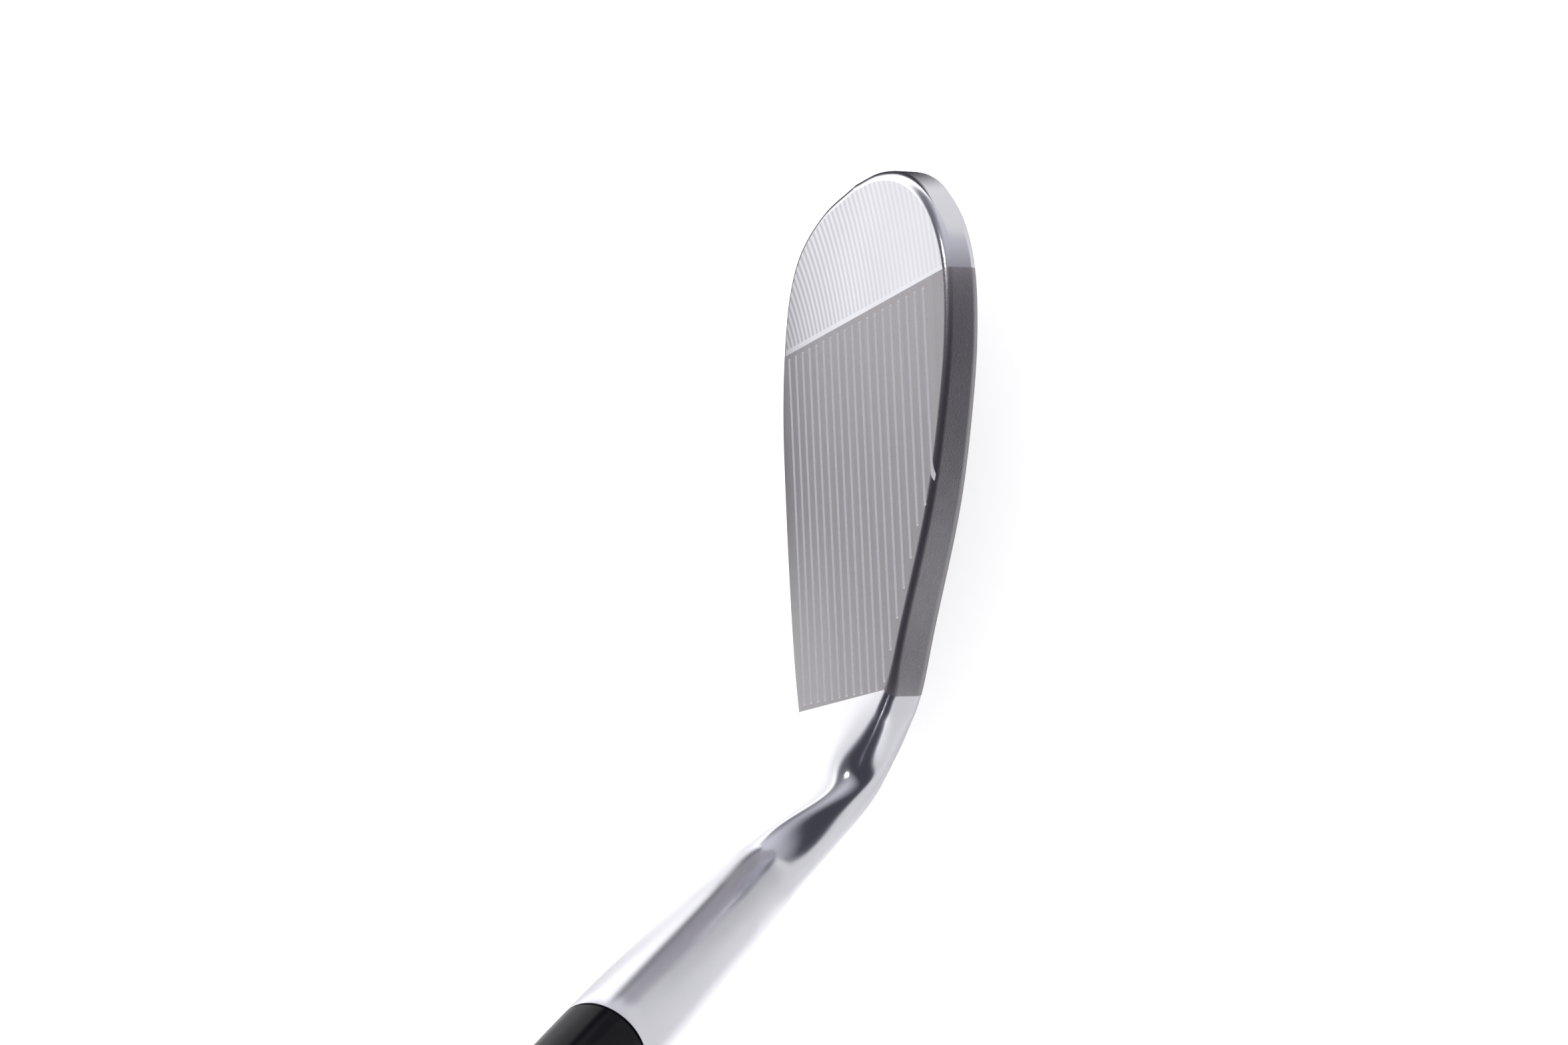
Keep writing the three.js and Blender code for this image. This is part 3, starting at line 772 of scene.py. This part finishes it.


# ---------------------------------------------------------------------------------------------
# Table. A plain white top whose own shade shows to the camera. In the steel it shows painted light and shade
# in place of what
# stood round the real club: a painted glow in front of the heel and the toe, and painted shade under the
# blade and far away.
bpy.ops.mesh.primitive_plane_add(size=14, location=(0, 0, 0))
table = bpy.context.active_object
table.name = "table_top"
white_table_with_painted_reflections, tree, shader, place = new_material("white_table_with_painted_reflections", 0.8)
shader.inputs["Specular IOR Level"].default_value = 0
shader.inputs["Emission Color"].default_value = (1, 1, 1, 1)
lift = 0.55
path = tree.nodes.new("ShaderNodeLightPath")
where = axes_of(tree, place)


def rising(axis, start, end, low=0, high=1):
    """A smooth change from low to high between two places on the table."""
    return ranged(tree, where[axis], start, end, low, high, "SMOOTHSTEP")


def combined(operation, first, *others):
    """The sum or product of several values of the pattern."""
    for other in others:
        first = math_node(tree, operation, first, other)
    return first


# Painted light: patches of the table that glow only in the steel, in front of the heel and the toe
painted_glow_by_heel = combined("MULTIPLY", rising("X", -0.02, 0.03, 0, 0.4), rising("Y", 0.03, -0.03),
                   rising("Y", -0.07, -0.045))
painted_glow_by_toe = combined("MULTIPLY", rising("X", 0, -0.05, 0, 0.5), rising("Y", -0.02, -0.04),
                  rising("Y", -0.35, -0.15))
# Painted shade: the table darkens only in the steel, under and before the blade, behind it and far in front
painted_shadow_before_blade = combined("MULTIPLY", rising("X", 0.02, -0.01, 0, 0.95), rising("Y", -0.03, -0.014),
                        rising("Y", 0.03, 0.01))
painted_shade_behind_blade = rising("Y", 0, 0.05, 0, 0.14)
painted_shade_far_in_front = rising("Y", -0.15, -0.6, 0, 0.4)
in_steel = path.outputs["Is Glossy Ray"]
painted_glow_in_steel = combined("MULTIPLY", in_steel, combined("ADD", painted_glow_by_heel, painted_glow_by_toe))
painted_shade_in_steel = combined("MULTIPLY", in_steel, combined("ADD", painted_shadow_before_blade, painted_shade_behind_blade, painted_shade_far_in_front))
tree.links.new(mixed(tree, painted_shade_in_steel, (0.82, 0.82, 0.83), (0.01, 0.01, 0.02)), shader.inputs["Base Color"])
tree.links.new(math_node(tree, "MULTIPLY_ADD", path.outputs["Is Camera Ray"], lift, painted_glow_in_steel),
               shader.inputs["Emission Strength"])
table.data.materials.append(white_table_with_painted_reflections)


# ---------------------------------------------------------------------------------------------
# Light. An even white surround, which the camera and the steel see at full strength, and one small
# softbox in front of the toe.
world = bpy.data.worlds.new("white_tent")
world.use_nodes = True
bpy.context.scene.world = world
tree = world.node_tree
sky = tree.nodes["Background"]
sky.inputs["Color"].default_value = (1, 1, 1, 1)
path = tree.nodes.new("ShaderNodeLightPath")
looked_at = combined("MAXIMUM", path.outputs["Is Camera Ray"], path.outputs["Is Glossy Ray"],
                     path.outputs["Is Transmission Ray"])
tree.links.new(ranged(tree, looked_at, 0, 1, 0.9, 1), sky.inputs["Strength"])

softbox_place = Vector((-0.61, -0.61, 0.97))
softbox_aim = Vector((0, 0, 0.03))
bpy.ops.object.light_add(type="AREA", location=softbox_place)
softbox = bpy.context.active_object
softbox.name = "softbox"
softbox.data.shape = "SQUARE"
softbox.data.size = 0.26
softbox.data.energy = 3.5
softbox.rotation_euler = (softbox_aim - softbox_place).to_track_quat("-Z", "Y").to_euler()


# ---------------------------------------------------------------------------------------------
# Studio. A dome that glows with a painted reflection of a dark room over the table, and shows only as a
# reflection in the steel. It is a little lighter near the table, and much lighter on the toe's side.
bpy.ops.mesh.primitive_uv_sphere_add(segments=64, ring_count=32, radius=3, location=(0, 0, 0))
reflection_dome = bpy.context.active_object
reflection_dome.name = "painted_dark_room_dome"
bpy.ops.object.mode_set(mode="EDIT")
bpy.ops.mesh.select_all(action="SELECT")
bpy.ops.mesh.bisect(plane_co=(0, 0, 0.01), plane_no=(0, 0, 1), clear_inner=True)
bpy.ops.object.mode_set(mode="OBJECT")
bpy.ops.object.shade_smooth()
painted_reflection_dome, tree, shader, place = new_material("painted_reflection_dome", 1)
where = axes_of(tree, place)
# Painted reflection: the dome's dark glow stands in for the shade of a dark room, lighter near the table and
# towards the toe
painted_dark_reflection = (0.05, 0.05, 0.065)
up_the_dome = ranged(tree, where["Z"], 0, 0.5, 0, 1)
toeward = ranged(tree, where["X"], 0, -3, 0, 1)
forward = ranged(tree, where["Y"], -1.5, 0, 0.3, 1)
toe_glow = math_node(tree, "MULTIPLY", toeward, forward)
painted_dome_reflection = blended(tree, "LIGHTEN", mixed(tree, up_the_dome, (0.22, 0.22, 0.26), painted_dark_reflection),
                mixed(tree, toe_glow, painted_dark_reflection, (0.66, 0.66, 0.72)))
tree.links.new(painted_dome_reflection, shader.inputs["Emission Color"])
shader.inputs["Emission Strength"].default_value = 1
shader.inputs["Base Color"].default_value = (0, 0, 0, 1)
reflection_dome.data.materials.append(painted_reflection_dome)
reflection_dome.visible_camera = False
reflection_dome.visible_diffuse = False
reflection_dome.visible_shadow = False


# ---------------------------------------------------------------------------------------------
# Camera, at the photograph's place above and behind the head, on the side of the shaft
right = Vector((0.0427, 0.8645, -0.5008)).normalized()
ahead = Vector((-0.1237, -0.4929, -0.8613)).normalized()
up = right.cross(ahead)
right = ahead.cross(up)
camera_data = bpy.data.cameras.new("camera")
camera_data.sensor_fit = "HORIZONTAL"
camera_data.sensor_width = 36
camera_data.lens = 64.2
camera_data.clip_start = 0.01
camera = bpy.data.objects.new("camera", camera_data)
bpy.context.collection.objects.link(camera)
turn = Matrix((right, up, -ahead)).transposed()
camera.matrix_world = Matrix.Translation((0.05022, 0.19646, 0.36622)) @ turn.to_4x4()
bpy.context.scene.camera = camera
bpy.context.scene.view_settings.view_transform = "Standard"
